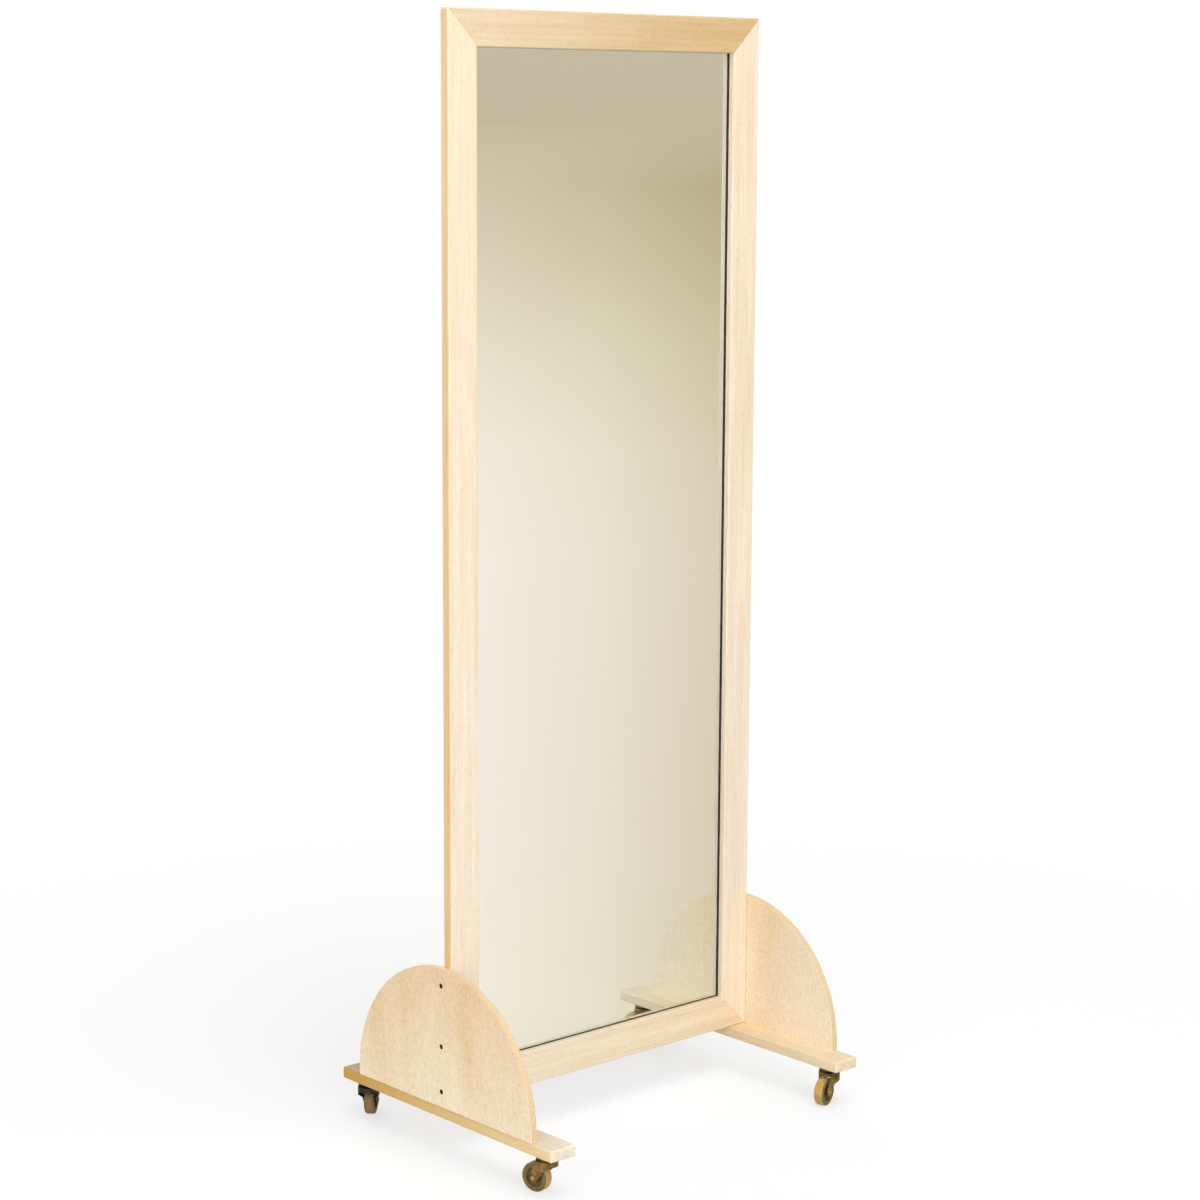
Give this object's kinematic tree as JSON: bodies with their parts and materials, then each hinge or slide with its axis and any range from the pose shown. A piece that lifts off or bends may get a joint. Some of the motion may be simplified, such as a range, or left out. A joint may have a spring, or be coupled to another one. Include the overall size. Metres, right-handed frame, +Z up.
{
  "type": "rolling floor mirror",
  "caption": "Tall framed mirror on wheels: a mitred wooden frame between two arched end panels, each on a foot board with swivel castors.",
  "frame": {"origin": "on the floor at the centre of the footprint, midway between the end panels and in line with the middle of the mirror frame's thickness", "axes": "+X to the viewer's right along the mirror's width, +Y to the back, +Z up; the mirror faces -Y"},
  "size_m": [0.722, 0.558, 1.907],
  "materials": {
    "maple": "clear satin lacquer",
    "plywood": "clear satin lacquer",
    "mirror": "silvered float glass",
    "foam": "closed-cell foam sheet",
    "hardboard": "smooth hardboard",
    "rubber": "plain",
    "zinc": "zinc plated",
    "black_screw": "black phosphate",
    "dark_bronze": "dark bronze plating",
    "brass_plate": "brass plated",
    "ball_steel": "polished",
    "dark_hub": "moulded",
    "tan_tread": "hard rubber"
  },
  "bodies": {
    "root": {"left_stile": "maple", "right_stile": "maple", "top_rail": "maple", "bottom_rail": "maple", "mitre_splines": "maple", "mirror_glass": "mirror", "setting_blocks": "rubber", "foam_sheet": "foam", "back_panel": "hardboard", "back_screws": "zinc", "left_end_panel": "plywood", "right_end_panel": "plywood", "left_panel_screws": "black_screw", "right_panel_screws": "black_screw", "left_foot_board": "maple", "right_foot_board": "maple", "left_board_screws": "black_screw", "right_board_screws": "black_screw", "front_left_plate": "dark_bronze", "front_left_race": "dark_bronze", "front_left_balls": "ball_steel", "front_left_rivet": "dark_bronze", "front_left_screws": "black_screw", "front_right_plate": "dark_bronze", "front_right_race": "dark_bronze", "front_right_balls": "ball_steel", "front_right_rivet": "dark_bronze", "front_right_screws": "black_screw", "rear_left_plate": "dark_bronze", "rear_left_race": "dark_bronze", "rear_left_balls": "ball_steel", "rear_left_rivet": "dark_bronze", "rear_left_screws": "black_screw", "rear_right_plate": "dark_bronze", "rear_right_race": "dark_bronze", "rear_right_balls": "ball_steel", "rear_right_rivet": "dark_bronze", "rear_right_screws": "black_screw"},
    "front_left_fork": {"front_left_fork": "dark_bronze", "front_left_axle": "brass_plate"},
    "front_left_wheel": {"front_left_hub": "dark_hub", "front_left_tread": "tan_tread"},
    "front_right_fork": {"front_right_fork": "dark_bronze", "front_right_axle": "brass_plate"},
    "front_right_wheel": {"front_right_hub": "dark_hub", "front_right_tread": "tan_tread"},
    "rear_left_fork": {"rear_left_fork": "dark_bronze", "rear_left_axle": "brass_plate"},
    "rear_left_wheel": {"rear_left_hub": "dark_hub", "rear_left_tread": "tan_tread"},
    "rear_right_fork": {"rear_right_fork": "dark_bronze", "rear_right_axle": "brass_plate"},
    "rear_right_wheel": {"rear_right_hub": "dark_hub", "rear_right_tread": "tan_tread"}
  },
  "joints": [
    {"name": "front_left_swivel", "type": "hinge", "parent": "root", "child": "front_left_fork", "pos_m": [-0.334, -0.238, 0.0585], "axis": [0, 0, 1], "continuous": true},
    {"name": "front_left_roll", "type": "hinge", "parent": "front_left_fork", "child": "front_left_wheel", "pos_m": [-0.33884, -0.21859, 0.025], "axis": [-0.9703, -0.2419, 0], "continuous": true},
    {"name": "front_right_swivel", "type": "hinge", "parent": "root", "child": "front_right_fork", "pos_m": [0.334, -0.238, 0.0585], "axis": [0, 0, 1], "continuous": true},
    {"name": "front_right_roll", "type": "hinge", "parent": "front_right_fork", "child": "front_right_wheel", "pos_m": [0.31487, -0.24385, 0.025], "axis": [0.2924, -0.9563, 0], "continuous": true},
    {"name": "rear_left_swivel", "type": "hinge", "parent": "root", "child": "rear_left_fork", "pos_m": [-0.334, 0.24, 0.0585], "axis": [0, 0, 1], "continuous": true},
    {"name": "rear_left_roll", "type": "hinge", "parent": "rear_left_fork", "child": "rear_left_wheel", "pos_m": [-0.31868, 0.25286, 0.025], "axis": [-0.6428, 0.766, 0], "continuous": true},
    {"name": "rear_right_swivel", "type": "hinge", "parent": "root", "child": "rear_right_fork", "pos_m": [0.334, 0.24, 0.0585], "axis": [0, 0, 1], "continuous": true},
    {"name": "rear_right_roll", "type": "hinge", "parent": "rear_right_fork", "child": "rear_right_wheel", "pos_m": [0.31868, 0.25286, 0.025], "axis": [-0.6428, -0.766, 0], "continuous": true}
  ]
}
